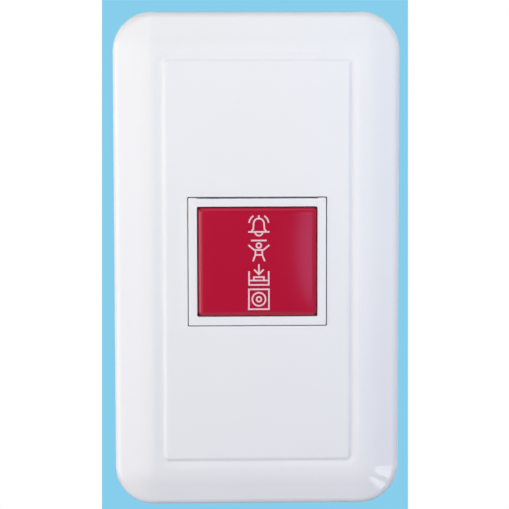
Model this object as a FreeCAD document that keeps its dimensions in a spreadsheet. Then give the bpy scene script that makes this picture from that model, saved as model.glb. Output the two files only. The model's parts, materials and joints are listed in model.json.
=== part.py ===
"""Emergency push button on a single-gang wall plate, with hidden fixing screws.

Millimetres. +Z is up and the wall is the plane Y = 0. The front faces -Y. The origin is the middle
of the two fixing slots, on the back of the mounting strap. Levels are heights in front of the wall,
so a negative level lies inside the wall box.
"""

import FreeCAD, Part
import math
import os
import re
import Sketcher
from FreeCAD import Vector

# Driving dimensions, one cell each
SIZES = {
    # face plate
    "plate_width": 69.2,
    "plate_height": 120.0,
    "plate_corner": 9.5,
    "edge_height": 5.1,
    "edge_round": 2.4,
    "bevel_width": 7.4,
    "bevel_rise": 2.8,
    "bevel_round": 10.0,
    "crown_flat": 2.8,
    "crown_end_flat": 2.3,
    "crown_round": 3.0,
    "valley_width": 1.5,
    "valley_depth": 0.45,
    "valley_corner": 1.5,
    "valley_round": 0.6,
    "panel_rise": 0.75,
    "panel_step": 0.75,
    "panel_round": 0.8,
    "plate_wall": 1.9,
    "collar_wall": 1.3,
    "hook_length": 8.0,
    "hook_reach": 1.6,
    "hook_back": 0.3,
    "hook_thickness": 0.9,
    "hook_spacing": 56.0,
    "pry_width": 9.0,
    "pry_depth": 1.4,
    # plate base
    "base_margin": 5.6,
    "base_corner": 6.0,
    "base_thickness": 1.8,
    "base_skirt": 1.4,
    "base_chamfer": 0.6,
    "tongue_hold": 0.6,
    "rib_thickness": 1.0,
    "rib_spacing": 20.0,
    "rib_count": 5,
    "access_width": 11.0,
    "access_height": 10.5,
    # mounting strap
    "strap_width": 44.0,
    "strap_margin": 3.2,
    "strap_corner": 3.0,
    "strap_thickness": 1.2,
    "box_pitch": 83.5,
    "slot_width": 4.6,
    "slot_length": 7.6,
    "wood_pitch": 28.0,
    "wood_hole": 3.8,
    "rail_length": 50.0,
    "rail_depth": 4.0,
    "rail_relief": 1.0,
    "rail_bend": 1.5,
    "thread_collar": 1.3,
    "thread_wall": 1.0,
    # plate screws
    "plate_screw_pitch": 62.0,
    "plate_screw_size": 3.5,
    "plate_screw_head": 6.5,
    "plate_screw_length": 7.0,
    # bezel frame
    "bezel_width": 33.2,
    "bezel_height": 30.9,
    "bezel_corner": 0.3,
    "bezel_proud": 0.45,
    "bezel_round": 0.25,
    "opening_width": 29.0,
    "opening_height": 26.6,
    "opening_corner": 0.3,
    "opening_round": 0.2,
    "lip_thickness": 2.4,
    "chamber_wall": 1.3,
    "flange_width": 42.0,
    "flange_height": 34.0,
    "flange_thickness": 1.8,
    "notch_width": 29.3,
    "notch_depth": 0.2,
    "notch_drop": 3.0,
    "arm_thickness": 1.1,
    "arm_length": 5.2,
    "catch_arm_width": 8.0,
    "latch_arm_width": 5.0,
    "latch_arm_pitch": 20.0,
    "barb_reach": 0.9,
    "barb_length": 2.0,
    "barb_chamfer": 0.7,
    # switch body
    "body_width": 31.8,
    "body_height": 28.4,
    "body_corner": 1.0,
    "body_wall": 1.5,
    "body_depth": 12.0,
    "lug_width": 2.4,
    "lug_depth": 1.6,
    "lug_reach": 0.9,
    "boss_size": 5.4,
    "boss_depth": 7.0,
    "boss_sink": 0.3,
    "channel_rib": 1.0,
    # terminal base
    "floor_thickness": 2.0,
    "bay_depth": 6.5,
    "bay_wall": 1.4,
    "barrier_width": 6.6,
    "barrier_depth": 4.5,
    "fin_thickness": 1.4,
    "peg_size": 3.4,
    "peg_height": 1.2,
    # housing screws
    "housing_screw_size": 2.6,
    "housing_screw_head": 4.6,
    "housing_screw_cap": 1.7,
    "housing_screw_length": 8.0,
    # contacts
    "strip_thickness": 1.2,
    "strip_width": 8.0,
    "strip_bend": 0.2,
    "strip_inner_end": 5.4,
    "strip_outer_end": 4.2,
    "strip_reach": 13.6,
    "contact_spacing": 16.0,
    "point_size": 3.4,
    "point_height": 0.7,
    "point_shank": 1.8,
    "contact_gap": 1.5,
    "bridge_length": 20.4,
    "bridge_width": 5.0,
    "bridge_thickness": 0.6,
    "bridge_corner": 1.0,
    "dimple_size": 2.4,
    "dimple_height": 0.5,
    # terminals
    "terminal_spacing": 17.2,
    "terminal_screw_size": 3.5,
    "terminal_screw_head": 6.8,
    "terminal_screw_cap": 2.4,
    "terminal_screw_length": 4.0,
    "washer_size": 7.6,
    "washer_corner": 0.8,
    "washer_thickness": 1.0,
    # button cap
    "cap_proud": 0.35,
    "cap_edge_round": 1.1,
    "cap_corner": 1.2,
    "cap_wall": 1.6,
    "cap_roof": 2.1,
    "cap_flange_reach": 0.75,
    "cap_flange_thickness": 0.85,
    "leg_width": 5.0,
    "leg_thickness": 1.2,
    "leg_spacing": 23.6,
    "leg_hook_reach": 0.7,
    "leg_hook_thickness": 1.0,
    "travel": 2.4,
    # slider
    "slider_room": 0.4,
    "slider_corner": 0.8,
    "slider_thickness": 1.6,
    "guide_size": 2.0,
    "guide_pitch": 11.2,
    "guide_length": 11.4,
    "yoke_width": 5.0,
    "yoke_wall": 1.6,
    "yoke_roof": 1.3,
    "yoke_bar": 1.4,
    # springs
    "return_spring_size": 5.0,
    "return_spring_wire": 0.5,
    "return_spring_turns": 5.5,
    "spring_margin": 1.7,
    "contact_spring_size": 4.2,
    "contact_spring_wire": 0.45,
    "contact_spring_turns": 4.5,
    # clearances and driver recesses
    "window_gap": 0.22,
    "cap_gap": 0.2,
    "slide_gap": 0.2,
    "seat_gap": 0.1,
    "screw_gap": 0.05,
    "hole_gap": 0.3,
    "recess_length": 2.6,
    "recess_width": 0.7,
    "recess_depth": 0.9,
}

# Sizes and levels worked out from the driving dimensions
DERIVED = {
    "crown_level": "edge_height + bevel_rise",
    "crown_width": "plate_width - 2 * bevel_width",
    "crown_height": "plate_height - 2 * bevel_width",
    "crown_corner": "plate_corner - bevel_width",
    "brink_width": "crown_width - 2 * crown_flat",
    "brink_height": "crown_height - 2 * crown_end_flat",
    "brink_corner": "valley_corner + valley_width",
    "valley_level": "crown_level - valley_depth",
    "valley_span": "brink_width - 2 * valley_width",
    "valley_rise": "brink_height - 2 * valley_width",
    "panel_level": "valley_level + panel_rise",
    "panel_width": "valley_span - 2 * panel_step",
    "panel_height": "valley_rise - 2 * panel_step",
    "panel_corner": "valley_corner - panel_step",
    "cavity_width": "plate_width - 2 * plate_wall",
    "cavity_height": "plate_height - 2 * plate_wall",
    "cavity_corner": "plate_corner - plate_wall",
    "cavity_top": "crown_level - plate_wall",
    "cavity_edge": "cavity_top - (bevel_width - plate_wall) * bevel_rise / bevel_width",
    "ceiling_level": "panel_level - plate_wall",
    "window_width": "bezel_width + 2 * window_gap",
    "window_height": "bezel_height + 2 * window_gap",
    "window_corner": "bezel_corner",
    "collar_level": "base_level + slide_gap",
    "base_width": "plate_width - 2 * base_margin",
    "base_height": "plate_height - 2 * base_margin",
    "base_level": "strap_thickness + base_thickness",
    "tongue_level": "hook_back + hook_thickness + seat_gap",
    "tongue_tip": "cavity_width / 2 - hook_reach + tongue_hold",
    "tongue_root": "base_width / 2 - base_skirt / 2",
    "strap_height": "base_height - 2 * strap_margin",
    "rib_root": "strap_width / 2 + hole_gap",
    "screw_cone": "(plate_screw_head - plate_screw_size) / 2",
    "bezel_level": "panel_level + bezel_proud",
    "lip_level": "bezel_level - lip_thickness",
    "chamber_width": "bezel_width - 2 * chamber_wall",
    "chamber_height": "bezel_height - 2 * chamber_wall",
    "arm_inside": "body_width / 2 + slide_gap",
    "arm_outside": "arm_inside + arm_thickness",
    "barb_level": "-seat_gap - barb_length",
    "lug_level": "arm_thickness + slide_gap - arm_length",
    "strap_window_width": "2 * (arm_outside + slide_gap)",
    "strap_window_height": "body_height + 4 * slide_gap",
    "bore_width": "body_width - 2 * body_wall",
    "bore_height": "body_height - 2 * body_wall",
    "slider_width": "bore_width - 2 * slider_room",
    "slider_height": "bore_height - 2 * slider_room",
    "return_spring_pitch": "bore_height - return_spring_size - 2 * spring_margin",
    "boss_x": "bore_width / 2 + boss_sink - boss_size / 2",
    "boss_z": "bore_height / 2 + boss_sink - boss_size / 2",
    "pilot_depth": "housing_screw_length - floor_thickness + hole_gap",
    "floor_level": "-body_depth",
    "floor_rear": "floor_level - floor_thickness",
    "strip_level": "floor_level + strip_thickness",
    "strip_rear": "floor_rear - strip_thickness",
    "fixed_face": "strip_level + point_height",
    "moving_face": "fixed_face + contact_gap",
    "bridge_rear": "moving_face + point_height",
    "bridge_level": "bridge_rear + bridge_thickness",
    "bar_level": "bridge_rear - seat_gap",
    "head_seat": "strip_rear - washer_thickness",
    "terminal_screw_rear": "head_seat - terminal_screw_cap",
    "cap_width": "opening_width - 2 * cap_gap",
    "cap_height": "opening_height - 2 * cap_gap",
    "cap_level": "bezel_level + cap_proud",
    "cap_ceiling": "cap_level - cap_roof",
    "cap_back": "lip_level - seat_gap - cap_flange_thickness",
    "leg_foot": "slider_back - seat_gap - leg_hook_thickness",
    "slider_back": "cap_back - slider_thickness",
    "pressed_back": "slider_back - travel",
    "guide_x": "guide_pitch / 2",
    "guide_z": "slider_height / 2 - guide_size / 2",
    "channel_offset": "guide_size / 2 + slide_gap + channel_rib / 2",
    "channel_inside": "guide_z - guide_size / 2",
    "channel_outside": "bore_height / 2 + body_wall / 4",
    "yoke_inside": "bridge_width + 2 * slide_gap",
    "yoke_height": "yoke_inside + 2 * yoke_wall",
    "yoke_foot": "bar_level - yoke_bar",
    "roof_level": "slider_back - yoke_roof",
}

# Sketch planes, named after the way they face
FRONT = "XZ_Plane"
SIDE = "YZ_Plane"
TOP = "XY_Plane"

MIDDLE = (("0", "0"),)
BOSSES = (("boss_x", "boss_z"), ("-boss_x", "-boss_z"))
QUARTER = math.pi / 2
NEAR = 1e-4

doc = FreeCAD.newDocument("panic_button")
sheet = doc.addObject("Spreadsheet::Sheet", "Sizes")


def fill_sheet():
    """Write every driving dimension into its own cell, with its name as the alias."""
    for row, (name, number) in enumerate(SIZES.items(), start=1):
        sheet.set(f"A{row}", name)
        sheet.set(f"B{row}", str(number))
        sheet.setAlias(f"B{row}", name)
    doc.recompute()


def expression(text):
    """Turn a formula in plain names into one that reads the sheet."""

    def swap(found):
        name = found.group(0)
        if name in DERIVED:
            return "(" + expression(DERIVED[name]) + ")"
        return f"Sizes.{name}" if name in SIZES else name

    return re.sub(r"[a-z][a-z_]*", swap, text)


def value(text):
    """The number that a formula gives."""
    found = sheet.evalExpression(expression(text))
    return float(getattr(found, "Value", found))


def bind(item, prop, text):
    """Tie a property to a formula."""
    item.setExpression(prop, expression(text))


def minus(text):
    return f"-({text})"


def both_x(x, z="0"):
    """The same place on the left and on the right."""
    return ((x, z), (minus(x), z))


def both_z(x, z):
    """The same place above and below."""
    return ((x, z), (x, minus(z)))


def four(x, z):
    """The same place in all four quarters."""
    return both_x(x, z) + both_x(x, minus(z))


# Sketches


def new_body(name):
    body = doc.addObject("PartDesign::Body", name)
    body.Label = name
    return body


def origin_feature(body, role):
    return next(f for f in body.Origin.OriginFeatures if f.Role == role)


def new_sketch(body, name, level, plane=FRONT):
    """An empty sketch. On the front plane its offset along -Y is the level."""
    sketch = body.newObject("Sketcher::SketchObject", name)
    sketch.AttachmentSupport = (origin_feature(body, plane), [""])
    sketch.MapMode = "FlatFace"
    bind(sketch, "AttachmentOffset.Base.z", level)
    return sketch


def dimension(sketch, kind, *where, formula):
    """Add a dimension that follows a formula."""
    index = sketch.addConstraint(Sketcher.Constraint(kind, *where, value(formula)))
    bind(sketch, f"Constraints[{index}]", formula)


def locate(sketch, item, point, x, y):
    """Dimension one point of the sketch from its origin."""
    for kind, axis, formula in (("DistanceX", -2, x), ("DistanceY", -1, y)):
        if formula == "0":
            sketch.addConstraint(Sketcher.Constraint("PointOnObject", item, point, axis))
        elif value(formula) < 0:
            dimension(sketch, kind, item, point, -1, 1, formula=minus(formula))
        else:
            dimension(sketch, kind, -1, 1, item, point, formula=formula)


def close_loop(sketch, lines):
    """Join the end of each line to the start of the next."""
    for side, line in enumerate(lines):
        following = lines[(side + 1) % len(lines)]
        sketch.addConstraint(Sketcher.Constraint("Coincident", line, 2, following, 1))


def add_lines(sketch, points):
    """Add the closed outline through some points."""
    lines = []
    for side, start in enumerate(points):
        end = points[(side + 1) % len(points)]
        lines.append(sketch.addGeometry(Part.LineSegment(start, end)))
    close_loop(sketch, lines)
    return lines


def hold_middle(sketch, first, second, x, y):
    """Hold the point halfway between two sketch points at x, y."""
    middle = Vector(value(x), value(y), 0)
    centre = sketch.addGeometry(Part.Point(middle), True)
    sketch.addConstraint(Sketcher.Constraint("Symmetric", *first, *second, centre, 1))
    locate(sketch, centre, 1, x, y)


def rectangle(sketch, width, height, x, y):
    """Add a sharp rectangle, centred on x, y."""
    half_w, half_h = value(width) / 2, value(height) / 2
    middle = Vector(value(x), value(y), 0)
    signs = ((-1, -1), (1, -1), (1, 1), (-1, 1))
    lines = add_lines(sketch, [middle + Vector(sx * half_w, sy * half_h, 0) for sx, sy in signs])
    for side, line in enumerate(lines):
        flat = "Horizontal" if side % 2 == 0 else "Vertical"
        sketch.addConstraint(Sketcher.Constraint(flat, line))
    dimension(sketch, "DistanceX", lines[0], 1, lines[0], 2, formula=width)
    dimension(sketch, "DistanceY", lines[1], 1, lines[1], 2, formula=height)
    hold_middle(sketch, (lines[0], 1), (lines[2], 1), x, y)


def rounded(sketch, width, height, radius, x, y):
    """Add a rectangle with round corners, centred on x, y."""
    half_w, half_h, size = value(width) / 2, value(height) / 2, value(radius)
    middle = Vector(value(x), value(y), 0)
    arcs = []
    for turn, (sx, sy) in enumerate(((1, -1), (1, 1), (-1, 1), (-1, -1))):
        corner = middle + Vector(sx * (half_w - size), sy * (half_h - size), 0)
        start = (turn - 1) * QUARTER
        arc = Part.ArcOfCircle(Part.Circle(corner, Vector(0, 0, 1), size), start, start + QUARTER)
        arcs.append(sketch.addGeometry(arc))
    for turn, arc in enumerate(arcs):
        following = arcs[(turn + 1) % 4]
        start, end = sketch.Geometry[arc].EndPoint, sketch.Geometry[following].StartPoint
        line = sketch.addGeometry(Part.LineSegment(start, end))
        sketch.addConstraint(Sketcher.Constraint("Tangent", arc, 2, line, 1))
        sketch.addConstraint(Sketcher.Constraint("Tangent", line, 2, following, 1))
        flat = "Vertical" if turn % 2 == 0 else "Horizontal"
        sketch.addConstraint(Sketcher.Constraint(flat, line))
        if turn:
            sketch.addConstraint(Sketcher.Constraint("Equal", arcs[0], arc))
    dimension(sketch, "Radius", arcs[0], formula=radius)
    dimension(sketch, "DistanceX", arcs[3], 3, arcs[0], 3, formula=f"{width} - 2 * ({radius})")
    dimension(sketch, "DistanceY", arcs[0], 3, arcs[1], 3, formula=f"{height} - 2 * ({radius})")
    hold_middle(sketch, (arcs[3], 3), (arcs[1], 3), x, y)


def slot(sketch, width, length, x, y):
    """Add an upright slot with full round ends, centred on x, y."""
    radius, rise = value(width) / 2, Vector(0, (value(length) - value(width)) / 2, 0)
    middle = Vector(value(x), value(y), 0)
    top_circle = Part.Circle(middle + rise, Vector(0, 0, 1), radius)
    low_circle = Part.Circle(middle - rise, Vector(0, 0, 1), radius)
    top = sketch.addGeometry(Part.ArcOfCircle(top_circle, 0, math.pi))
    low = sketch.addGeometry(Part.ArcOfCircle(low_circle, math.pi, 2 * math.pi))
    for first, last in ((top, low), (low, top)):
        start, end = sketch.Geometry[first].EndPoint, sketch.Geometry[last].StartPoint
        line = sketch.addGeometry(Part.LineSegment(start, end))
        sketch.addConstraint(Sketcher.Constraint("Tangent", first, 2, line, 1))
        sketch.addConstraint(Sketcher.Constraint("Tangent", line, 2, last, 1))
        sketch.addConstraint(Sketcher.Constraint("Vertical", line))
    dimension(sketch, "Radius", top, formula=f"{width} / 2")
    dimension(sketch, "DistanceY", low, 3, top, 3, formula=f"{length} - {width}")
    hold_middle(sketch, (top, 3), (low, 3), x, y)


def circle(sketch, size, x, y):
    """Add a circle of a diameter, centred on x, y."""
    middle = Vector(value(x), value(y), 0)
    ring = sketch.addGeometry(Part.Circle(middle, Vector(0, 0, 1), value(size) / 2))
    dimension(sketch, "Diameter", ring, formula=size)
    locate(sketch, ring, 3, x, y)


def hexagon(sketch, size, x, y):
    """Add a hexagon measured over its corners, two of them level with its middle."""
    middle, radius = Vector(value(x), value(y), 0), value(size) / 2
    ring = sketch.addGeometry(Part.Circle(middle, Vector(0, 0, 1), radius), True)
    dimension(sketch, "Diameter", ring, formula=size)
    locate(sketch, ring, 3, x, y)
    angles = [turn * math.pi / 3 for turn in range(6)]
    sides = add_lines(sketch, [middle + Vector(math.cos(a), math.sin(a), 0) * radius for a in angles])
    for side in sides:
        sketch.addConstraint(Sketcher.Constraint("PointOnObject", side, 1, ring))
        if side != sides[0]:
            sketch.addConstraint(Sketcher.Constraint("Equal", sides[0], side))
    sketch.addConstraint(Sketcher.Constraint("Horizontal", sides[1]))


def polygon(sketch, corners):
    """Add a closed outline through corners, each given by its x and y formulas."""
    lines = add_lines(sketch, [Vector(value(x), value(y), 0) for x, y in corners])
    for line, (x, y) in zip(lines, corners):
        locate(sketch, line, 1, x, y)


def draw(body, name, level, shape, *sizes, at=MIDDLE, plane=FRONT):
    """A sketch that holds one shape at one or more places."""
    sketch = new_sketch(body, name, level, plane)
    for x, y in at:
        shape(sketch, *sizes, x, y)
    return sketch


# Features


def pad(body, sketch, length):
    """Grow a sketch towards the front."""
    made = body.newObject("PartDesign::Pad", sketch.Label + "Pad")
    made.Profile = sketch
    bind(made, "Length", length)
    return made


def pocket(body, sketch, depth):
    """Cut a sketch away towards the wall."""
    made = body.newObject("PartDesign::Pocket", sketch.Label + "Pocket")
    made.Profile = sketch
    bind(made, "Length", depth)
    return made


def centred(feature):
    """Let a pad or pocket run as far to one side of its sketch as to the other."""
    feature.SideType = "Symmetric"
    return feature


def loft(body, kind, first, last):
    """Join two sketches with straight sides. The kind is Additive or Subtractive."""
    made = body.newObject(f"PartDesign::{kind}Loft", first.Label + "Loft")
    made.Profile = first
    made.Sections = [last]
    made.Ruled = True
    return made


def repeat_up(body, feature, length, count):
    """Repeat a feature up the Z axis."""
    made = body.newObject("PartDesign::LinearPattern", feature.Label + "Pattern")
    made.Originals = [feature]
    made.Direction = (origin_feature(body, "Z_Axis"), [""])
    bind(made, "Length", length)
    bind(made, "Occurrences", count)
    body.Tip = made
    return made


def dress(body, kind, size, choose):
    """Fillet or chamfer the edges that a test picks from the body so far."""
    doc.recompute()
    base = body.Tip
    picked = [f"Edge{n}" for n, edge in enumerate(base.Shape.Edges, start=1) if choose(edge)]
    made = body.newObject(f"PartDesign::{kind}", kind)
    made.Base = (base, picked)
    bind(made, "Radius" if kind == "Fillet" else "Size", size)
    return made


def at_level(level, least="0", most=None):
    """A test for edges that lie flat at a level, with their reach in X between two limits."""
    height, low = value(level), value(least)
    high = value(most) if most else math.inf

    def test(edge):
        box = edge.BoundBox
        reach = max(abs(box.XMin), abs(box.XMax))
        flat = abs(box.YMin + height) < NEAR and abs(box.YMax + height) < NEAR
        return flat and low - NEAR < reach < high + NEAR

    return test


def along_z(x, level, spread):
    """A test for edges along Z at one |x| and level, within a spread of the middle."""
    side, height, limit = value(x), value(level), value(spread)

    def test(edge):
        box = edge.BoundBox
        upright = box.XLength < NEAR and box.YLength < NEAR
        there = abs(abs(box.XMin) - side) < NEAR and abs(box.YMin + height) < NEAR
        return upright and there and max(abs(box.ZMin), abs(box.ZMax)) < limit + NEAR

    return test


def cross_recess(body, x, z, level):
    """Cut a cross for a driver from a level towards the wall."""
    for width, height in (("recess_length", "recess_width"), ("recess_width", "recess_length")):
        bar = draw(body, "Recess", level, rectangle, width, height, at=((x, z),))
        pocket(body, bar, "recess_depth")


# Parts that stay with the wall


def make_face_plate():
    """The one-piece cover: bevelled rim, shallow valley, raised panel with the module's window."""
    body = new_body("face_plate")
    outline = ("plate_width", "plate_height", "plate_corner")
    crown = ("crown_width", "crown_height", "crown_corner")
    brink = ("brink_width", "brink_height", "brink_corner")
    valley = ("valley_span", "valley_rise", "valley_corner")
    panel = ("panel_width", "panel_height", "panel_corner")

    # Front, from the wall outwards
    pad(body, draw(body, "Outline", "0", rounded, *outline), "edge_height")
    rim = draw(body, "BevelFoot", "edge_height", rounded, *outline)
    loft(body, "Additive", rim, draw(body, "BevelTop", "crown_level", rounded, *crown))
    dip = draw(body, "ValleyTop", "crown_level", rounded, *brink)
    loft(body, "Subtractive", dip, draw(body, "ValleyFoot", "valley_level", rounded, *valley))
    step = draw(body, "PanelFoot", "valley_level", rounded, *valley)
    loft(body, "Additive", step, draw(body, "PanelTop", "panel_level", rounded, *panel))
    dress(body, "Fillet", "edge_round", at_level("edge_height"))
    dress(body, "Fillet", "bevel_round", at_level("crown_level", "crown_width / 2 - crown_corner"))
    dress(body, "Fillet", "crown_round", at_level("crown_level", "0", "brink_width / 2"))
    dress(body, "Fillet", "panel_round", at_level("panel_level"))
    dress(body, "Fillet", "valley_round", at_level("valley_level"))

    # Hollow back with a wall of about even thickness
    cavity = ("cavity_width", "cavity_height", "cavity_corner")
    pocket(body, draw(body, "Cavity", "cavity_edge", rounded, *cavity), "cavity_edge")
    shoulder = draw(body, "CavityFoot", "cavity_edge", rounded, *cavity)
    loft(body, "Subtractive", shoulder, draw(body, "CavityTop", "cavity_top", rounded, *crown))
    relief = ("panel_width - plate_wall", "panel_height - plate_wall", "panel_corner")
    panel_back = draw(body, "PanelBack", "ceiling_level", rounded, *relief)
    pocket(body, panel_back, "ceiling_level - cavity_top")

    # Window with a collar that reaches back to the plate base
    collar = (
        "window_width + 2 * collar_wall",
        "window_height + 2 * collar_wall",
        "window_corner + collar_wall",
    )
    collar_sketch = draw(body, "Collar", "collar_level", rounded, *collar)
    pad(body, collar_sketch, "ceiling_level - collar_level")
    window = ("window_width", "window_height", "window_corner")
    pocket(body, draw(body, "Window", "panel_level", rounded, *window), "panel_level")

    # Hooks that snap behind the tongues of the plate base, and the notch to pry the cover off
    hook = ("hook_reach + plate_wall / 2", "hook_length")
    places = four("cavity_width / 2 - hook_reach / 2 + plate_wall / 4", "hook_spacing / 2")
    pad(body, draw(body, "Hooks", "hook_back", rectangle, *hook, at=places), "hook_thickness")
    pry = ("pry_width", "3 * plate_wall")
    foot = (("0", "-plate_height / 2"),)
    pocket(body, draw(body, "PryNotch", "pry_depth", rectangle, *pry, at=foot), "pry_depth")
    return body


def make_plate_base():
    """The inner plate that the cover snaps on: a shallow tray with tongues and stiffening ribs."""
    body = new_body("plate_base")
    outline = ("base_width", "base_height", "base_corner")
    pad(body, draw(body, "Outline", "0", rounded, *outline), "base_level")
    dress(body, "Chamfer", "base_chamfer", at_level("base_level"))
    tray = (
        "base_width - 2 * base_skirt",
        "base_height - 2 * base_skirt",
        "base_corner - base_skirt",
    )
    pocket(body, draw(body, "Tray", "strap_thickness", rounded, *tray), "strap_thickness")

    # Tongues in front of the cover's hooks
    tongue = ("tongue_tip - tongue_root", "hook_length")
    places = four("(tongue_tip + tongue_root) / 2", "hook_spacing / 2")
    pad(body, draw(body, "Tongues", "tongue_level", rectangle, *tongue, at=places), "hook_thickness")

    # Ribs between the skirt and the strap
    run = "rib_spacing * (rib_count - 1)"
    rib = ("tongue_root - rib_root", "rib_thickness")
    places = both_x("(tongue_root + rib_root) / 2", f"-{run} / 2")
    ribs = pad(body, draw(body, "Ribs", "0", rectangle, *rib, at=places), "base_level - base_chamfer")
    repeat_up(body, ribs, run, "rib_count")

    # Openings for the module's flange, the box screws and the countersunk plate screws
    window = ("flange_width + 2 * slide_gap", "flange_height + 2 * slide_gap", "window_corner")
    pocket(body, draw(body, "Window", "base_level", rounded, *window), "base_level")
    access = ("access_width", "access_height", "base_skirt")
    places = both_z("0", "box_pitch / 2")
    pocket(body, draw(body, "Access", "base_level", rounded, *access, at=places), "base_level")
    clear = "plate_screw_size + 2 * hole_gap"
    places = both_z("0", "plate_screw_pitch / 2")
    pocket(body, draw(body, "ScrewHoles", "base_level", circle, clear, at=places), "base_level")
    wide, narrow = "plate_screw_head + 2 * screw_gap", "plate_screw_size + 2 * screw_gap"
    for place in places:
        mouth = draw(body, "SinkMouth", "base_level", circle, wide, at=(place,))
        foot = draw(body, "SinkFoot", "base_level - screw_cone", circle, narrow, at=(place,))
        loft(body, "Subtractive", mouth, foot)
    return body


def make_mounting_strap():
    """The pressed steel strap: box slots, wood screw holes, tapped collars and bent side rails."""
    body = new_body("mounting_strap")
    blank = ("strap_width", "strap_height", "strap_corner")
    pad(body, draw(body, "Blank", "0", rounded, *blank), "strap_thickness")
    rail = ("strap_thickness", "rail_length")
    places = both_x("strap_width / 2 - strap_thickness / 2")
    pad(body, draw(body, "Rails", "-rail_depth", rectangle, *rail, at=places), "rail_depth")
    relief = ("2 * rail_relief", "rail_relief")
    places = four("strap_width / 2 - rail_relief", "rail_length / 2 + rail_relief / 2")
    reliefs = draw(body, "Reliefs", "strap_thickness", rectangle, *relief, at=places)
    pocket(body, reliefs, "strap_thickness")
    bends = along_z("strap_width / 2", "strap_thickness", "rail_length / 2")
    dress(body, "Fillet", "rail_bend", bends)

    window = ("strap_window_width", "strap_window_height", "body_corner")
    pocket(body, draw(body, "Window", "strap_thickness", rounded, *window), "strap_thickness")
    box_slot = ("slot_width", "slot_length")
    places = both_z("0", "box_pitch / 2")
    slots = draw(body, "BoxSlots", "strap_thickness", slot, *box_slot, at=places)
    pocket(body, slots, "strap_thickness")
    places = four("wood_pitch / 2", "box_pitch / 2")
    holes = draw(body, "WoodHoles", "strap_thickness", circle, "wood_hole", at=places)
    pocket(body, holes, "strap_thickness")

    # Tapped collars, drawn through to the back
    places = both_z("0", "plate_screw_pitch / 2")
    collar = "plate_screw_size + 2 * thread_wall"
    pad(body, draw(body, "Collars", "-thread_collar", circle, collar, at=places), "thread_collar")
    thread = "plate_screw_size + 2 * screw_gap"
    bores = draw(body, "Threads", "strap_thickness", circle, thread, at=places)
    pocket(body, bores, "strap_thickness + thread_collar")
    return body


def make_plate_screws():
    """Two countersunk screws, driven from the front."""
    body = new_body("plate_screws")
    places = both_z("0", "plate_screw_pitch / 2")
    tip = "base_level - plate_screw_length"
    shanks = draw(body, "Shanks", tip, circle, "plate_screw_size", at=places)
    pad(body, shanks, "plate_screw_length - screw_cone")
    for place in places:
        neck_level = "base_level - screw_cone"
        neck = draw(body, "Neck", neck_level, circle, "plate_screw_size", at=(place,))
        rim = draw(body, "Rim", "base_level", circle, "plate_screw_head", at=(place,))
        loft(body, "Additive", neck, rim)
        cross_recess(body, *place, "base_level")
    return body


def make_bezel_frame():
    """The module's white frame: lip, chamber, flange on the strap, catch arms and latch arms."""
    body = new_body("bezel_frame")
    flange = ("flange_width", "flange_height", "body_corner")
    pad(body, draw(body, "Flange", "strap_thickness", rounded, *flange), "flange_thickness")
    tower = draw(
        body, "Tower", "strap_thickness", rounded, "bezel_width", "bezel_height", "bezel_corner"
    )
    pad(body, tower, "bezel_level - strap_thickness")
    opening = ("opening_width", "opening_height", "opening_corner")
    pocket(body, draw(body, "Opening", "bezel_level", rounded, *opening), "lip_thickness")
    chamber = ("chamber_width", "chamber_height", "opening_corner")
    pocket(body, draw(body, "Chamber", "lip_level", rounded, *chamber), "lip_level")
    outer_edges = at_level("bezel_level", "bezel_width / 2 - bezel_corner")
    dress(body, "Fillet", "bezel_round", outer_edges)
    inner_edges = at_level("bezel_level", "0", "opening_width / 2")
    dress(body, "Fillet", "opening_round", inner_edges)
    notch = ("notch_width", "2 * notch_depth")
    top = (("0", "bezel_height / 2"),)
    pocket(body, draw(body, "Notch", "bezel_level", rectangle, *notch, at=top), "notch_drop")

    # Catch arms spring out behind the strap
    arm_x = "arm_inside + arm_thickness / 2"
    arm_run = "arm_length + strap_thickness + flange_thickness / 2"
    catch = ("arm_thickness", "catch_arm_width")
    arms = draw(body, "CatchArms", "-arm_length", rectangle, *catch, at=both_x(arm_x))
    pad(body, arms, arm_run)
    barb = ("barb_reach + arm_thickness / 2", "catch_arm_width")
    places = both_x("arm_outside + barb_reach / 2 - arm_thickness / 4")
    pad(body, draw(body, "Barbs", "barb_level", rectangle, *barb, at=places), "barb_length")
    lead = along_z("arm_outside + barb_reach", "barb_level", "catch_arm_width / 2")
    dress(body, "Chamfer", "barb_chamfer", lead)

    # Latch arms hold the switch body by its lugs
    latch = ("arm_thickness", "latch_arm_width")
    places = four(arm_x, "latch_arm_pitch / 2")
    pad(body, draw(body, "LatchArms", "-arm_length", rectangle, *latch, at=places), arm_run)
    eye = ("lug_depth + 2 * slide_gap", "lug_width + 2 * slide_gap")
    places = both_z("-(lug_level + lug_depth / 2)", "latch_arm_pitch / 2")
    eyes = draw(body, "Eyes", "0", rectangle, *eye, at=places, plane=SIDE)
    centred(pocket(body, eyes, "flange_width"))
    return body


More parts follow.
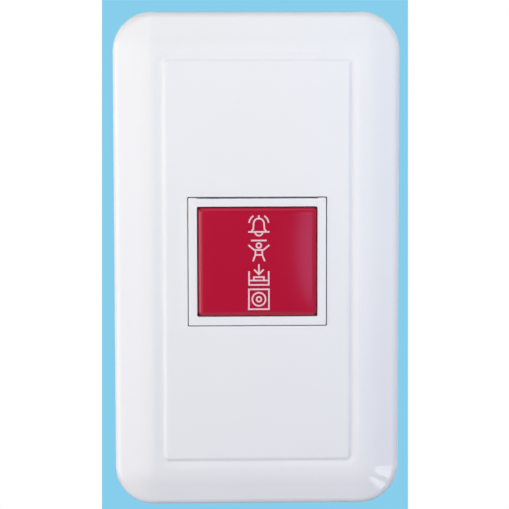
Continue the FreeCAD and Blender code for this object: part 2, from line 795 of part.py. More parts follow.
def make_switch_body():
    """The tubular housing: lugs outside, screw bosses and guide channels inside."""
    body = new_body("switch_body")
    depth = "strap_thickness + body_depth"
    tube = ("body_width", "body_height", "body_corner")
    pad(body, draw(body, "Tube", "floor_level", rounded, *tube), depth)
    bore = ("bore_width", "bore_height", "body_corner / 2")
    pocket(body, draw(body, "Bore", "strap_thickness", rounded, *bore), depth)
    lug = ("lug_reach + slide_gap + body_wall / 2", "lug_width")
    lug_x = "body_width / 2 + (lug_reach + slide_gap) / 2 - body_wall / 4"
    places = four(lug_x, "latch_arm_pitch / 2")
    pad(body, draw(body, "Lugs", "lug_level", rectangle, *lug, at=places), "lug_depth")

    # Screw bosses in two opposite corners
    pad(body, draw(body, "Bosses", "floor_level", circle, "boss_size", at=BOSSES), "boss_depth")
    pilot = "housing_screw_size + 2 * screw_gap"
    pilots = draw(body, "Pilots", "floor_level + pilot_depth", circle, pilot, at=BOSSES)
    pocket(body, pilots, "pilot_depth")

    # A channel round each guide leg of the slider
    rib = ("channel_rib", "channel_outside - channel_inside")
    rib_z = "(channel_outside + channel_inside) / 2"
    places = four("guide_x + channel_offset", rib_z) + four("guide_x - channel_offset", rib_z)
    ribs = draw(body, "Channels", "floor_level", rectangle, *rib, at=places)
    pad(body, ribs, "pressed_back - slide_gap - floor_level")
    return body


def make_terminal_base():
    """The rear moulding: floor, spring pegs, bay walls and the barrier between the terminals."""
    body = new_body("terminal_base")
    floor = ("body_width", "body_height", "body_corner")
    pad(body, draw(body, "Floor", "floor_rear", rounded, *floor), "floor_thickness")
    places = both_z("0", "return_spring_pitch / 2")
    pad(body, draw(body, "Pegs", "floor_level", circle, "peg_size", at=places), "peg_height")
    wall = ("body_width - 2 * body_corner", "bay_wall")
    places = both_z("0", "body_height / 2 - bay_wall / 2")
    walls = draw(body, "BayWalls", "floor_rear - bay_depth", rectangle, *wall, at=places)
    pad(body, walls, "bay_depth")
    across = "body_height - bay_wall"
    barrier = draw(
        body, "Barrier", "floor_rear - barrier_depth", rectangle, "barrier_width", across
    )
    pad(body, barrier, "barrier_depth")
    fin = draw(body, "Fin", "floor_rear - bay_depth", rectangle, "fin_thickness", across)
    pad(body, fin, "bay_depth")

    # Slots for the contact strips, and holes for the terminal and housing screws
    web = ("strip_thickness + 2 * slide_gap", "strip_width + 2 * slide_gap")
    places = both_x("strip_reach - strip_thickness / 2")
    slots = draw(body, "StripSlots", "floor_level", rectangle, *web, at=places)
    pocket(body, slots, "floor_thickness")
    clear = "terminal_screw_size + 2 * hole_gap"
    places = both_x("terminal_spacing / 2")
    holes = draw(body, "TerminalHoles", "floor_level", circle, clear, at=places)
    pocket(body, holes, "floor_thickness")
    clear = "housing_screw_size + 2 * screw_gap"
    holes = draw(body, "ScrewHoles", "floor_level", circle, clear, at=BOSSES)
    pocket(body, holes, "floor_thickness")
    return body


def make_housing_screws():
    """Two screws from the rear, through the terminal base into the bosses."""
    body = new_body("housing_screws")
    rear = "floor_rear - housing_screw_cap"
    heads = draw(body, "Heads", rear, circle, "housing_screw_head", at=BOSSES)
    pad(body, heads, "housing_screw_cap")
    shanks = draw(body, "Shanks", "floor_rear", circle, "housing_screw_size", at=BOSSES)
    pad(body, shanks, "housing_screw_length")
    for place in BOSSES:
        cross_recess(body, *place, f"{rear} + recess_depth")
    return body


def make_fixed_contact(name, sign):
    """A brass strip bent round the floor: contact leg in front, terminal leg behind."""
    body = new_body(name)
    outer, inner = f"{sign} * strip_reach", f"{sign} * (strip_reach - strip_thickness)"
    front_end, rear_end = f"{sign} * strip_inner_end", f"{sign} * strip_outer_end"
    strip = new_sketch(body, "Strip", "0", TOP)
    corners = (
        (front_end, "-strip_level"),
        (outer, "-strip_level"),
        (outer, "-strip_rear"),
        (rear_end, "-strip_rear"),
        (rear_end, "-floor_rear"),
        (inner, "-floor_rear"),
        (inner, "-floor_level"),
        (front_end, "-floor_level"),
    )
    polygon(strip, corners)
    centred(pad(body, strip, "strip_width"))
    for level in ("strip_level", "strip_rear"):
        bend = along_z("strip_reach", level, "strip_width / 2")
        dress(body, "Fillet", "strip_bend + strip_thickness", bend)
    for level in ("floor_level", "floor_rear"):
        bend = along_z("strip_reach - strip_thickness", level, "strip_width / 2")
        dress(body, "Fillet", "strip_bend", bend)
    place = ((f"{sign} * contact_spacing / 2", "0"),)
    bore = "point_shank + 2 * screw_gap"
    hole = draw(body, "RivetHole", "strip_level", circle, bore, at=place)
    pocket(body, hole, "strip_thickness")
    place = ((f"{sign} * terminal_spacing / 2", "0"),)
    bore = "terminal_screw_size + 2 * screw_gap"
    pocket(body, draw(body, "Thread", "floor_rear", circle, bore, at=place), "strip_thickness")
    return body


def make_contact_point(name, sign, head_level, shank_level, shank_length):
    """A contact rivet: a round head, and a shank through the strip that carries it."""
    body = new_body(name)
    place = ((f"{sign} * contact_spacing / 2", "0"),)
    pad(body, draw(body, "Head", head_level, circle, "point_size", at=place), "point_height")
    shank = draw(body, "Shank", shank_level, circle, "point_shank", at=place)
    pad(body, shank, shank_length)
    return body


def make_terminal_screws():
    """Two pan-head terminal screws, driven from the rear."""
    body = new_body("terminal_screws")
    places = both_x("terminal_spacing / 2")
    rear = "terminal_screw_rear"
    heads = draw(body, "Heads", rear, circle, "terminal_screw_head", at=places)
    pad(body, heads, "terminal_screw_cap")
    shanks = draw(body, "Shanks", "head_seat", circle, "terminal_screw_size", at=places)
    pad(body, shanks, "terminal_screw_length")
    for place in places:
        cross_recess(body, *place, f"{rear} + recess_depth")
    return body


def make_terminal_washers():
    """Two square washers that clamp the wires."""
    body = new_body("terminal_washers")
    places = both_x("terminal_spacing / 2")
    square = ("washer_size", "washer_size", "washer_corner")
    squares = draw(body, "Squares", "head_seat", rounded, *square, at=places)
    pad(body, squares, "washer_thickness")
    bore = "terminal_screw_size + 2 * slide_gap"
    pocket(body, draw(body, "Holes", "strip_rear", circle, bore, at=places), "washer_thickness")
    return body


# Parts that move with the button


def make_button_cap():
    """The red cap: a shell with soft edges, a retaining flange and two snap legs."""
    body = new_body("button_cap")
    shell = ("cap_width", "cap_height", "cap_corner")
    pad(body, draw(body, "Shell", "cap_back", rounded, *shell), "cap_level - cap_back")
    dress(body, "Fillet", "cap_edge_round", at_level("cap_level"))
    flange = (
        "cap_width + 2 * cap_flange_reach",
        "cap_height + 2 * cap_flange_reach",
        "cap_corner",
    )
    pad(body, draw(body, "Flange", "cap_back", rounded, *flange), "cap_flange_thickness")
    hollow = ("cap_width - 2 * cap_wall", "cap_height - 2 * cap_wall", "cap_corner / 2")
    inside = draw(body, "Hollow", "cap_ceiling", rounded, *hollow)
    pocket(body, inside, "cap_ceiling - cap_back")

    # Legs through the slider, with hooks behind it
    leg = ("leg_thickness", "leg_width")
    legs = draw(body, "Legs", "leg_foot", rectangle, *leg, at=both_x("leg_spacing / 2"))
    pad(body, legs, "cap_ceiling - leg_foot")
    hook = ("leg_hook_reach + leg_thickness / 2", "leg_width")
    places = both_x("leg_spacing / 2 + leg_thickness / 4 + leg_hook_reach / 2")
    hooks = draw(body, "LegHooks", "leg_foot", rectangle, *hook, at=places)
    pad(body, hooks, "leg_hook_thickness")
    tip = "leg_spacing / 2 + leg_thickness / 2 + leg_hook_reach"
    lead = along_z(tip, "leg_foot", "leg_width / 2")
    dress(body, "Chamfer", "leg_hook_reach - seat_gap", lead)
    return body


def make_slider():
    """The slide behind the cap: plate, guide legs, spring pegs and the bridge's yoke."""
    body = new_body("slider")
    plate = ("slider_width", "slider_height", "slider_corner")
    pad(body, draw(body, "Plate", "slider_back", rounded, *plate), "slider_thickness")
    leg_slot = ("leg_thickness + 2 * slide_gap", "leg_width + 2 * slide_gap")
    places = both_x("leg_spacing / 2")
    slots = draw(body, "LegSlots", "cap_back", rectangle, *leg_slot, at=places)
    pocket(body, slots, "slider_thickness")
    guide = ("guide_size", "guide_size")
    foot = "slider_back - guide_length"
    guides = draw(body, "Guides", foot, rectangle, *guide, at=four("guide_x", "guide_z"))
    pad(body, guides, "guide_length")
    places = both_z("0", "return_spring_pitch / 2")
    pegs = draw(body, "Pegs", "slider_back - peg_height", circle, "peg_size", at=places)
    pad(body, pegs, "peg_height")

    # The yoke hangs behind the plate, and the contact bridge passes through its window
    yoke = draw(body, "Yoke", "yoke_foot", rectangle, "yoke_width", "yoke_height")
    pad(body, yoke, "slider_back - yoke_foot")
    window = ("roof_level - bar_level", "yoke_inside")
    places = (("-(roof_level + bar_level) / 2", "0"),)
    opening = draw(body, "YokeWindow", "0", rectangle, *window, at=places, plane=SIDE)
    centred(pocket(body, opening, "yoke_width + slide_gap"))
    peg = draw(body, "RoofPeg", "roof_level - dimple_height", circle, "dimple_size")
    pad(body, peg, "dimple_height")
    return body


def make_contact_bridge():
    """The bar that joins the two fixed contacts, with a dimple for its spring."""
    body = new_body("contact_bridge")
    bar = ("bridge_length", "bridge_width", "bridge_corner")
    pad(body, draw(body, "Bar", "bridge_rear", rounded, *bar), "bridge_thickness")
    places = both_x("contact_spacing / 2")
    bore = "point_shank + 2 * screw_gap"
    holes = draw(body, "RivetHoles", "bridge_level", circle, bore, at=places)
    pocket(body, holes, "bridge_thickness")
    pad(body, draw(body, "Dimple", "bridge_level", circle, "dimple_size"), "dimple_height")
    return body


def make_spring(name, kind, z, top, foot):
    """A coil spring along Y between two levels. Its wire is a hexagon in section."""
    body = new_body(name)
    wire = f"{kind}_wire"
    section = new_sketch(body, "Section", "0", SIDE)
    bind(section, "AttachmentOffset.Base.y", z)
    hexagon(section, wire, f"{wire} / 2 - ({top})", f"({kind}_size - {wire}) / 2")
    coil = body.newObject("PartDesign::AdditiveHelix", "Coil")
    coil.Profile = section
    coil.ReferenceAxis = (section, ["H_Axis"])
    coil.Mode = "height-turns-angle"
    coil.Angle = 0
    bind(coil, "Height", f"{top} - ({foot}) - {wire}")
    bind(coil, "Turns", f"{kind}_turns")
    return body


def make_parts():
    """Every piece of the assembly, from the cover to the contact spring."""
    fixed = ("strip_level", "floor_level", "strip_thickness")
    moving = ("moving_face", "bridge_rear", "bridge_thickness")
    return [
        make_face_plate(),
        make_plate_base(),
        make_mounting_strap(),
        make_plate_screws(),
        make_bezel_frame(),
        make_switch_body(),
        make_terminal_base(),
        make_housing_screws(),
        make_fixed_contact("fixed_contact_left", "-1"),
        make_fixed_contact("fixed_contact_right", "1"),
        make_contact_point("fixed_point_left", "-1", *fixed),
        make_contact_point("fixed_point_right", "1", *fixed),
        make_terminal_screws(),
        make_terminal_washers(),
        make_spring(
            "return_spring_upper", "return_spring", "return_spring_pitch / 2", "slider_back", "floor_level"
        ),
        make_spring(
            "return_spring_lower", "return_spring", "-return_spring_pitch / 2", "slider_back", "floor_level"
        ),
        make_button_cap(),
        make_slider(),
        make_contact_bridge(),
        make_contact_point("bridge_point_left", "-1", *moving),
        make_contact_point("bridge_point_right", "1", *moving),
        make_spring("contact_spring", "contact_spring", "0", "roof_level", "bridge_level"),
    ]


def write_parts(parts):
    """Stop if anything failed, or else write each piece to its own file."""
    failed = [item.Name for item in doc.Objects if {"Invalid", "Error"} & set(item.State)]
    if failed:
        raise RuntimeError(f"failed features: {failed}")
    os.makedirs("parts", exist_ok=True)
    for part in parts:
        shape = part.Shape
        if shape.isNull() or not shape.isValid():
            raise RuntimeError(f"{part.Label} has no valid shape")
        box = shape.BoundBox
        reach = [round(v, 2) for v in (box.XMin, box.XMax, box.YMin, box.YMax, box.ZMin, box.ZMax)]
        print(part.Label, len(shape.Solids), round(shape.Volume, 2), reach)
        shape.exportStep(f"parts/{part.Label}.step")


fill_sheet()
built = make_parts()
doc.recompute()
write_parts(built)
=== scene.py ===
"""Looks of the emergency push button on its wall plate, in the part's own frame.

Metres. +Z is up, the front faces -Y and the wall is the plane Y = 0.
"""

import json
import math
from typing import NamedTuple

import bmesh
import bpy
from mathutils import Matrix, Vector


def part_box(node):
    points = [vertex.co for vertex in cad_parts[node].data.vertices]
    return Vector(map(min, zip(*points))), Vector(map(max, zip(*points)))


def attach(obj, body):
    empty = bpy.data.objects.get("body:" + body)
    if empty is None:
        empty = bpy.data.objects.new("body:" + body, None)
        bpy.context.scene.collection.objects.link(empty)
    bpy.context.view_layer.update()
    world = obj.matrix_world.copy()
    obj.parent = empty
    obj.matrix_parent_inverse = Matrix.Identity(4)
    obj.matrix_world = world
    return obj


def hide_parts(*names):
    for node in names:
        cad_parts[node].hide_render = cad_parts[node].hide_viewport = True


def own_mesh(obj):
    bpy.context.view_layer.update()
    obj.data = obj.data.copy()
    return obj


MM = 0.001

# The photograph's view, found from the edges of the plate, the panel, the module and the cap
VIEW_DISTANCE = 0.498
VIEW_AZIMUTH = -1.83
VIEW_ELEVATION = 5.28
VIEW_ROLL = -0.095
LENS = 143.65
SENSOR_WIDTH = 36.0
SHIFT = (-0.0034, 0.0078)
CLIP = (0.01, 20.0)

# The cap's face is very slightly domed
DOME_RADIUS = 0.33

# The four marks on the cap stand in one column
MARK_SIZE = 5.2 * MM
MARK_PITCH = 5.9 * MM
MARK_STROKE = 0.37 * MM
MARK_THICKNESS = 0.012 * MM
MARK_LIFT = 0.002 * MM
MARK_COLUMN_X = 0.35 * MM
MARK_COLUMN_Z = -0.2 * MM

# Screw thread on the two plate screws, from where it comes out behind the strap
THREAD_PITCH = 0.6 * MM
THREAD_DEPTH = 0.22 * MM
THREAD_START = 1.35 * MM
THREAD_REACH = 3.0 * MM
PLATE_SCREW_Z = 31.0 * MM

# Springs: name, body, wire and turns. The contact spring rides in with the bridge
SPRINGS = (
    ("return_spring_upper", "wall_unit", 0.5 * MM, 5.5),
    ("return_spring_lower", "wall_unit", 0.5 * MM, 5.5),
    ("contact_spring", "bridge", 0.45 * MM, 4.5),
)
COIL_SIDES = 10
COIL_STEPS = 28

FLOOR_LEVEL = -0.6
FLOOR_SIZE = 3.0
FLOOR_GLOW = 0.5

# The room's light from behind the unit, and the colour that gloss sees in front of it
ROOM_BEHIND = (1.05, 1.08, 1.12)
ROOM_IN_FRONT = (58, 60, 66)

# The backdrop: sky blue between two edges, each with its slope and lean, white beside it, and
# pale grey all round
BLUE_LEFT = (-0.04343, 0.0087)
BLUE_RIGHT = (0.10678, -0.0052)
BACKDROP_WHITE_TO = 0.2
BACKDROP_GREY_FROM = 0.5
BACKDROP_BLUE = (135, 206, 236)
BACKDROP_GREY = (221, 226, 232)


class SoftBox(NamedTuple):
    """An area lamp: its place, the point that it faces, its size, and its watts in each colour."""

    name: str
    place: tuple
    aim: tuple
    size: tuple
    power: tuple
    mirrored: bool = True  # whether gloss shows it
    shape: str = "RECTANGLE"
    turn: float = 0.0  # in degrees, about its own axis


SOFT_BOXES = (
    SoftBox("near", (-0.12, -0.32, 0.12), (0, 0, 0.02), (0.12, 0.12), (0.288, 0.245, 0.165), False),
    SoftBox(
        "near_right", (0.13, -0.32, 0.14), (0.02, 0, 0.02), (0.12, 0.12), (0.298, 0.408, 0.408), False
    ),
    SoftBox("side", (-0.365, -0.5, 0.10), (-0.365, 0, 0.10), (0.6, 0.9), (1.47, 1.245, 1.215)),
    SoftBox("edge", (-0.6, -0.12, -0.06), (0, 0, 0), (0.55, 0.55), (2.139, 2.221, 2.423)),
    SoftBox("top", (0, -0.3, 0.55), (0, 0, 0), (0.5, 0.4), (0.447, 0.442, 0.484)),
    SoftBox("cool", (0.5, -0.5, 0.12), (0.5, 0, 0.12), (0.6, 0.8), (0.546, 0.553, 0.742), turn=20),
    SoftBox("right", (0.42, -0.30, 0.02), (0, 0, 0), (0.25, 0.25), (0.509, 0.453, 0.623), False),
    # The soft band on the right of the cap, and the two small glints at the lower right corner
    SoftBox(
        "band",
        (0.102, -0.6, -0.038),
        (0.102, 0, -0.038),
        (0.052, 0.16),
        (0.0055, 0.0175, 0.033),
        shape="ELLIPSE",
    ),
    SoftBox("glint", (0.565, -0.5, -0.31), (0.565, 0, -0.31), (0.09, 0.2), (0.21, 0.215, 0.22)),
    SoftBox(
        "tick",
        (0.206, -0.22, -0.273),
        (0.206, 0, -0.273),
        (0.08, 0.035),
        (0.034, 0.035, 0.036),
        turn=12,
    ),
)


# Colours and shading


def srgb(red, green, blue):
    """A display colour from 0 to 255 as the linear colour that a shader takes."""

    def linear(channel):
        share = channel / 255
        return share / 12.92 if share <= 0.04045 else ((share + 0.055) / 1.055) ** 2.4

    return (linear(red), linear(green), linear(blue), 1.0)


def shade(colour, factor):
    """The same colour, lighter or darker."""
    return tuple(min(1.0, c * factor) for c in colour[:3]) + (1.0,)


class Nodes:
    """A shader's nodes and short ways to add to them."""

    def __init__(self, tree):
        self.nodes, self.links = tree.nodes, tree.links

    def add(self, kind, **values):
        """A new node with some of its sockets set or linked."""
        node = self.nodes.new(kind)
        for name, given in values.items():
            self.feed(node.inputs[name.replace("_", " ")], given)
        return node

    def feed(self, socket, given):
        if isinstance(given, bpy.types.NodeSocket):
            self.links.new(given, socket)
        else:
            socket.default_value = given

    def math(self, operation, first, second=0.0):
        node = self.nodes.new("ShaderNodeMath")
        node.operation = operation
        self.feed(node.inputs[0], first)
        self.feed(node.inputs[1], second)
        return node.outputs[0]

    def mix(self, share, first, second):
        node = self.nodes.new("ShaderNodeMix")
        node.data_type = "RGBA"
        self.feed(node.inputs["Factor"], share)
        colours = [socket for socket in node.inputs if socket.type == "RGBA"]
        self.feed(colours[0], first)
        self.feed(colours[1], second)
        return [socket for socket in node.outputs if socket.type == "RGBA"][0]


class Surface(Nodes):
    """A material with textures, a colour, a roughness and bumps."""

    def __init__(self, name, roughness, metallic=0.0):
        self.material = bpy.data.materials.new(name)
        self.material.use_nodes = True
        super().__init__(self.material.node_tree)
        self.shader = self.nodes["Principled BSDF"]
        self.shader.inputs["Metallic"].default_value = metallic
        self.shader.inputs["Roughness"].default_value = roughness
        self.place = self.add("ShaderNodeTexCoord").outputs["Object"]

    def noise(self, scale, detail=3.0, stretch=(1.0, 1.0, 1.0)):
        """Noise with about `scale` blobs in a metre, drawn out along an axis by its stretch."""
        mapping = self.add("ShaderNodeMapping", Vector=self.place, Scale=stretch)
        place = mapping.outputs[0]
        texture = self.add("ShaderNodeTexNoise", Vector=place, Scale=scale, Detail=detail)
        return texture.outputs["Fac"]

    def spread(self, source, low, high, start=0.3, end=0.7):
        """Map the middle of a texture's range to low..high."""
        ends = {"From Min": start, "From Max": end, "To Min": low, "To Max": high}
        return self.add("ShaderNodeMapRange", Value=source, **ends).outputs[0]

    def colour(self, source):
        self.feed(self.shader.inputs["Base Color"], source)

    def roughness(self, source):
        self.feed(self.shader.inputs["Roughness"], source)

    def raise_by(self, height):
        """Stand the surface up by a height in metres, as a bump."""
        bump = self.add("ShaderNodeBump", Height=height, Strength=1.0, Distance=1.0)
        if self.shader.inputs["Normal"].is_linked:
            self.links.new(self.shader.inputs["Normal"].links[0].from_socket, bump.inputs["Normal"])
        self.links.new(bump.outputs[0], self.shader.inputs["Normal"])


def grain(surface, scale, height, detail=2.0, stretch=(1.0, 1.0, 1.0)):
    """The height of a fine moulded or brushed grain, in metres."""
    return surface.math("MULTIPLY", surface.noise(scale, detail, stretch), height)


def moulded(name, colour, roughness, grain_height=1.2e-6, grain_scale=1400.0):
    """Moulded plastic: an even colour with a faint cloud, and the fine grain of the mould."""
    surface = Surface(name, roughness)
    cloud = surface.spread(surface.noise(45.0), 0.0, 1.0, 0.1, 0.9)
    surface.colour(surface.mix(cloud, shade(colour, 0.985), shade(colour, 1.012)))
    wear = surface.noise(160.0, 4.0)
    surface.roughness(surface.spread(wear, roughness - 0.015, roughness + 0.02, 0.1, 0.9))
    surface.raise_by(grain(surface, grain_scale, grain_height))
    return surface


def red_gloss(name, colour):
    """The cap's glossy red: its face is gently domed, and its gloss is a little uneven."""
    surface = moulded(name, colour, 0.09, 0.3e-6, 700.0)
    parts = surface.add("ShaderNodeSeparateXYZ", Vector=surface.place)
    across = surface.math("POWER", parts.outputs["X"], 2.0)
    upright = surface.math("POWER", parts.outputs["Z"], 2.0)
    sag = surface.math("DIVIDE", surface.math("ADD", across, upright), -2 * DOME_RADIUS)
    surface.raise_by(sag)
    return surface


def metal(name, colour, roughness, stretch=(1.0, 1.0, 1.0), scratch=2.0e-6):
    """Bare or plated metal with a drawn or pressed grain and uneven dulling."""
    surface = Surface(name, roughness, metallic=1.0)
    cloud = surface.spread(surface.noise(90.0, 5.0), 0.0, 1.0)
    surface.colour(surface.mix(cloud, shade(colour, 0.86), colour))
    dulling = surface.noise(240.0, 4.0, stretch)
    surface.roughness(surface.spread(dulling, roughness - 0.06, roughness + 0.1))
    surface.raise_by(grain(surface, 2400.0, scratch, 4.0, stretch))
    return surface


def zinc_sheet(name, colour):
    """Zinc-plated sheet: faint crystals, a rolled grain along Z and pressed-in dulling."""
    surface = metal(name, colour, 0.34, (1.0, 1.0, 0.06))
    crystals = surface.add("ShaderNodeTexVoronoi", Vector=surface.place, Scale=330.0)
    grey = surface.add("ShaderNodeSeparateColor", Color=crystals.outputs["Color"]).outputs["Red"]
    tint = surface.spread(grey, 0.0, 1.0, 0.0, 1.0)
    surface.colour(surface.mix(tint, shade(colour, 0.93), shade(colour, 1.03)))
    return surface


def screw_steel(name, colour):
    """Plated screws. Behind the strap the plate screws show their thread."""
    surface = metal(name, colour, 0.3)
    parts = surface.add("ShaderNodeSeparateXYZ", Vector=surface.place)
    rise = surface.math("SUBTRACT", surface.math("ABSOLUTE", parts.outputs["Z"]), PLATE_SCREW_Z)
    turn = surface.math("DIVIDE", surface.math("ARCTAN2", rise, parts.outputs["X"]), 2 * math.pi)
    advance = surface.math("DIVIDE", parts.outputs["Y"], THREAD_PITCH)
    wave = surface.math("PINGPONG", surface.math("ADD", turn, advance), 0.5)
    behind = surface.math("GREATER_THAN", parts.outputs["Y"], THREAD_START)
    near = surface.math("LESS_THAN", surface.math("ABSOLUTE", rise), THREAD_REACH)
    thread = surface.math("MULTIPLY", wave, THREAD_DEPTH * 2)
    surface.raise_by(surface.math("MULTIPLY", surface.math("MULTIPLY", thread, behind), near))
    return surface


def ink(name, colour):
    """White pad print, a little uneven."""
    surface = Surface(name, 0.35)
    cloud = surface.spread(surface.noise(1500.0, 4.0), 0.0, 1.0)
    surface.colour(surface.mix(cloud, shade(colour, 0.94), colour))
    return surface


def make_finishes():
    """The finish of each of the record's material slots."""
    white = srgb(236, 237, 241)
    return {
        "cover_plastic": moulded("cover_plastic", white, 0.09, 0.6e-6, 900.0),
        "bezel_plastic": moulded("bezel_plastic", srgb(236, 236, 241), 0.12, 0.6e-6, 900.0),
        "base_plastic": moulded("base_plastic", srgb(230, 231, 232), 0.5, 3.0e-6),
        "housing_plastic": moulded("housing_plastic", srgb(214, 216, 218), 0.48, 3.0e-6),
        "terminal_plastic": moulded("terminal_plastic", srgb(44, 44, 47), 0.46, 3.5e-6),
        "slider_plastic": moulded("slider_plastic", srgb(226, 225, 219), 0.42, 2.0e-6),
        "red_plastic": red_gloss("red_plastic", srgb(180, 20, 54)),
        "zinc_steel": zinc_sheet("zinc_steel", srgb(206, 209, 213)),
        "screw_steel": screw_steel("screw_steel", srgb(204, 206, 209)),
        "terminal_steel": metal("terminal_steel", srgb(208, 208, 206), 0.27),
        "spring_steel": metal("spring_steel", srgb(190, 191, 194), 0.24),
        "contact_brass": metal("contact_brass", srgb(214, 180, 104), 0.28, (1.0, 1.0, 0.1)),
        "silver_point": metal("silver_point", srgb(222, 220, 214), 0.2),
    }


def dress(frame, finishes):
    """Give every CAD node the finish of its slot."""
    for entry in frame["record"]["subparts"]:
        mesh = frame["nodes"][entry["node"]].data
        mesh.materials.clear()
        mesh.materials.append(finishes[entry["material_slot"]].material)


# Pieces that the scene adds


def new_piece(name, build, material, body):
    """A mesh object that a function fills, on a CAD body."""
    mesh = bpy.data.meshes.new(name)
    piece = bpy.data.objects.new(name, mesh)
    bpy.context.scene.collection.objects.link(piece)
    shape = bmesh.new()
    build(shape)
    shape.to_mesh(mesh)
    shape.free()
    mesh.materials.append(material)
    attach(piece, body)
    return piece


def arc(middle, radius, start, end, steps=16):
    """Points on an arc in a mark's plane. Angles are in degrees, anticlockwise from the right."""
    angles = [math.radians(start + (end - start) * n / steps) for n in range(steps + 1)]
    return [(middle[0] + radius * math.cos(a), middle[1] + radius * math.sin(a)) for a in angles]


# Each mark is a list of strokes on a square from -1 to 1


def bell_mark():
    """An alarm bell with sound on both sides."""
    dome = [(-0.78, -0.58), (-0.56, -0.3), (-0.52, 0.2)] + arc((0, 0.24), 0.52, 176, 4)
    dome += [(0.52, 0.2), (0.56, -0.3), (0.78, -0.58)]
    strokes = [dome, [(-0.98, -0.58), (0.98, -0.58)], arc((0, -0.58), 0.38, 200, 340, 10)]
    sound = [arc((0, 0.2), 0.98, 128, 168, 8), arc((0, 0.2), 0.98, 52, 12, 8)]
    return strokes + [[(0, 0.74), (0, 1.0)]] + sound


def person_mark():
    """A person with raised arms under a roof line."""
    head = arc((0, 0.5), 0.24, 0, 360, 20)
    arms = [(-0.98, 0.5), (-0.46, 0.06), (0.46, 0.06), (0.98, 0.5)]
    trunk = [(-0.34, 0.06), (-0.34, -0.44), (-0.56, -1.0)]
    other = [(0.34, 0.06), (0.34, -0.44), (0.56, -1.0)]
    return [head, arms, trunk, other, [(-0.34, -0.44), (0.34, -0.44)], [(-0.7, 1.0), (0.7, 1.0)]]


def press_mark():
    """An arrow that presses on a button in its frame."""
    arrow = [[(0, 1.0), (0, 0.08)], [(-0.42, 0.48), (0, 0.06), (0.42, 0.48)]]
    button = [(-0.5, -0.56), (-0.5, -0.22), (0.5, -0.22), (0.5, -0.56)]
    tray = [(-0.98, 0.3), (-0.98, -1.0), (0.98, -1.0), (0.98, 0.3)]
    return arrow + [button, [(-0.98, -0.56), (0.98, -0.56)], tray]


def ring_mark():
    """A call button: two rings round a dot, on a plate."""
    corners = [(-1, -1), (1, -1), (1, 1), (-1, 1), (-1, -1)]
    rings = [arc((0, 0), 0.66, 0, 360, 32), arc((0, 0), 0.24, 0, 360, 24)]
    return rings + [corners]


def add_stroke(shape, points, half, y):
    """Raise one stroke of ink: a band with a low round back and mitred bends."""
    closed = (Vector(points[0]) - Vector(points[-1])).length < half / 10
    line = [Vector(p) for p in (points[:-1] if closed else points)]
    count = len(line)
    ribs = []
    for n, point in enumerate(line):
        before = line[n - 1] if closed or n > 0 else 2 * point - line[n + 1]
        after = line[(n + 1) % count] if closed or n < count - 1 else 2 * point - line[n - 1]
        into, out = (point - before).normalized(), (after - point).normalized()
        along = (into + out).normalized()
        side = Vector((-along.y, along.x)) / max(0.5, along.dot(into))
        if not closed and n in (0, count - 1):
            point = point + along * (half if n else -half)
        rib = []
        for share in (-1.0, -0.7, 0.0, 0.7, 1.0):
            place = point + side * half * share
            back = y - MARK_THICKNESS * (1 - share * share)
            rib.append(shape.verts.new((place.x, back, place.y)))
        ribs.append(rib)
    if closed:
        ribs.append(ribs[0])
    for first, second in zip(ribs, ribs[1:]):
        for k in range(len(first) - 1):
            shape.faces.new((first[k], first[k + 1], second[k + 1], second[k]))


def make_marks(front, material):
    """Four generic marks in a column on the cap."""
    marks = (bell_mark, person_mark, press_mark, ring_mark)
    reach = (MARK_SIZE - MARK_STROKE) / 2
    for row, mark in enumerate(marks):
        level = MARK_COLUMN_Z + MARK_PITCH * ((len(marks) - 1) / 2 - row)

        def build(shape):
            for stroke in mark():
                points = [(MARK_COLUMN_X + reach * x, level + reach * z) for x, z in stroke]
                add_stroke(shape, points, MARK_STROKE / 2, front - MARK_LIFT)

        new_piece(f"cap_{mark.__name__}", build, material, "button")


def coil(shape, x, z, radius, wire, start, end, turns):
    """A closed coil of round wire along Y."""
    count = int(turns * COIL_STEPS)
    rings = []
    for n in range(count + 1):
        share = n / count
        angle = 2 * math.pi * turns * share
        out = Vector((math.cos(angle), 0, math.sin(angle)))
        middle = Vector((x, start + (end - start) * share, z)) + out * radius
        ring = []
        for k in range(COIL_SIDES):
            turn = 2 * math.pi * k / COIL_SIDES
            offset = out * math.cos(turn) + Vector((0, 1, 0)) * math.sin(turn)
            ring.append(shape.verts.new(middle + offset * wire / 2))
        rings.append(ring)
    for first, second in zip(rings, rings[1:]):
        for k in range(COIL_SIDES):
            after = (k + 1) % COIL_SIDES
            shape.faces.new((first[k], first[after], second[after], second[k]))
    shape.faces.new(rings[0])
    shape.faces.new(rings[-1])
    for face in shape.faces:
        face.smooth = True


def make_springs(material):
    """Round-wire springs in the place of the coarse CAD ones."""
    for name, body, wire, turns in SPRINGS:
        low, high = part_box(name)
        middle, seat = (low + high) / 2, high.y
        radius = (high.z - low.z - wire) / 2

        def build(shape):
            coil(shape, middle.x, middle.z, radius, wire, seat - wire / 2, low.y + wire / 2, turns)

        piece = new_piece(f"{name}_wire", build, material, body)
        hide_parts(name)
        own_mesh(piece)


# Stage, light and camera


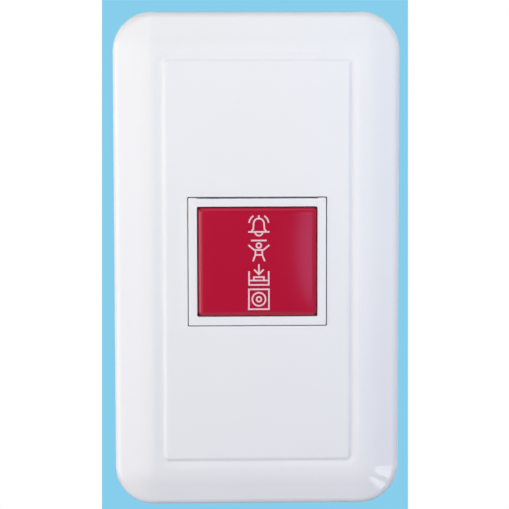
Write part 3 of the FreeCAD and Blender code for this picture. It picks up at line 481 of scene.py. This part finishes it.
def make_floor():
    """A plain pale floor below the unit."""
    surface = Surface("floor", 0.6)
    cloud = surface.spread(surface.noise(3.0), 0.0, 1.0)
    surface.colour(surface.mix(cloud, srgb(232, 234, 237), srgb(238, 239, 242)))
    path = surface.add("ShaderNodeLightPath")
    surface.shader.inputs["Emission Color"].default_value = srgb(236, 239, 243)
    glow = surface.math("MULTIPLY", path.outputs["Is Camera Ray"], FLOOR_GLOW)
    surface.feed(surface.shader.inputs["Emission Strength"], glow)
    mesh = bpy.data.meshes.new("floor")
    half = FLOOR_SIZE / 2
    corners = [(-half, -half, 0), (half, -half, 0), (half, half, 0), (-half, half, 0)]
    mesh.from_pydata(corners, [], [(0, 1, 2, 3)])
    mesh.materials.append(surface.material)
    floor = bpy.data.objects.new("floor", mesh)
    floor.location = (0, 0, FLOOR_LEVEL)
    bpy.context.scene.collection.objects.link(floor)


def make_world():
    """Soft room light. What the eye and the gloss see behind the unit is a sky-blue backdrop."""
    world = bpy.data.worlds.new("room")
    world.use_nodes = True
    room = Nodes(world.node_tree)
    room.nodes.clear()
    place = room.add("ShaderNodeTexCoord")
    axes = room.add("ShaderNodeSeparateXYZ", Vector=place.outputs["Generated"])
    x, y, z = (axes.outputs[name] for name in ("X", "Y", "Z"))

    # The room's light on dull surfaces comes from behind; the soft boxes light the front
    behind = room.math("MAXIMUM", y, 0.0)
    soft = room.add("ShaderNodeBackground", Strength=behind, Color=ROOM_BEHIND + (1.0,))

    # What is seen straight behind the unit, beside it and all round
    path = room.add("ShaderNodeLightPath")
    slope, rise = room.math("DIVIDE", x, y), room.math("DIVIDE", z, y)
    left, right = (
        room.math("ADD", room.math("MULTIPLY", rise, lean), start)
        for start, lean in (BLUE_LEFT, BLUE_RIGHT)
    )
    past_left, before_right = room.math("GREATER_THAN", slope, left), room.math("LESS_THAN", slope, right)
    inside = room.math("MULTIPLY", past_left, before_right)
    aside = room.math("SUBTRACT", room.math("ABSOLUTE", slope), BACKDROP_WHITE_TO)
    aside = room.math("DIVIDE", aside, BACKDROP_GREY_FROM - BACKDROP_WHITE_TO)
    aside = room.math("MINIMUM", room.math("MAXIMUM", aside, 0.0), 1.0)
    far = room.mix(aside, srgb(255, 255, 255), srgb(*BACKDROP_GREY))
    far = room.mix(inside, far, srgb(*BACKDROP_BLUE))
    front = room.mix(path.outputs["Is Camera Ray"], srgb(*ROOM_IN_FRONT), srgb(*BACKDROP_GREY))
    around = room.mix(room.math("GREATER_THAN", y, 0.0), front, far)
    seen = room.add("ShaderNodeBackground", Color=around)

    sees = room.math("MAXIMUM", path.outputs["Is Camera Ray"], path.outputs["Is Glossy Ray"])
    sees = room.math("MAXIMUM", sees, path.outputs["Is Transmission Ray"])
    either = room.add("ShaderNodeMixShader", Fac=sees)
    room.links.new(soft.outputs[0], either.inputs[1])
    room.links.new(seen.outputs[0], either.inputs[2])
    room.add("ShaderNodeOutputWorld", Surface=either.outputs[0])
    bpy.context.scene.world = world


def make_lights():
    """Soft boxes that stay out of sight of the camera itself."""
    for box in SOFT_BOXES:
        data = bpy.data.lights.new(box.name, "AREA")
        data.shape = box.shape
        data.size, data.size_y = box.size
        data.energy = max(box.power)
        data.color = [share / data.energy for share in box.power]
        lamp = bpy.data.objects.new(box.name, data)
        lamp.location = box.place
        towards = (Vector(box.aim) - Vector(box.place)).to_track_quat("-Z", "Y").to_matrix()
        lamp.rotation_euler = (towards @ Matrix.Rotation(math.radians(box.turn), 3, "Z")).to_euler()
        lamp.visible_camera = False
        lamp.visible_glossy = box.mirrored
        bpy.context.scene.collection.objects.link(lamp)


def make_camera():
    """The photograph's camera."""
    azimuth, elevation = math.radians(VIEW_AZIMUTH), math.radians(VIEW_ELEVATION)
    flat = math.cos(elevation)
    back = Vector((math.sin(azimuth) * flat, -math.cos(azimuth) * flat, math.sin(elevation)))
    data = bpy.data.cameras.new("camera")
    data.lens = LENS
    data.sensor_width = SENSOR_WIDTH
    data.shift_x, data.shift_y = SHIFT
    data.clip_start, data.clip_end = CLIP
    camera = bpy.data.objects.new("camera", data)
    towards = (-back).to_track_quat("-Z", "Y").to_matrix()
    turn = towards @ Matrix.Rotation(math.radians(VIEW_ROLL), 3, "Z")
    camera.matrix_world = Matrix.Translation(back * VIEW_DISTANCE) @ turn.to_4x4()
    bpy.context.scene.collection.objects.link(camera)
    bpy.context.scene.camera = camera


make_camera()
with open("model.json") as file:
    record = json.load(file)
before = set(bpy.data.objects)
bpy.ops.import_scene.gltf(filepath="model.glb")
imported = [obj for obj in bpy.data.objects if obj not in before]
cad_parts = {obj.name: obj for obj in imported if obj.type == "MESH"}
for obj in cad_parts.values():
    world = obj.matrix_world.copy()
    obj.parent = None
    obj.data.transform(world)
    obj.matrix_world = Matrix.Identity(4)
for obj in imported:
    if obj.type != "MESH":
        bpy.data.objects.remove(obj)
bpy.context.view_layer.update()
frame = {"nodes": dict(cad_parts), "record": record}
bpy.context.scene.view_settings.view_transform = "Standard"

finishes = make_finishes()
dress(frame, finishes)
make_marks(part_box("button_cap")[0].y, ink("white_print", srgb(230, 203, 213)).material)
make_springs(finishes["spring_steel"].material)
make_floor()
make_world()
make_lights()
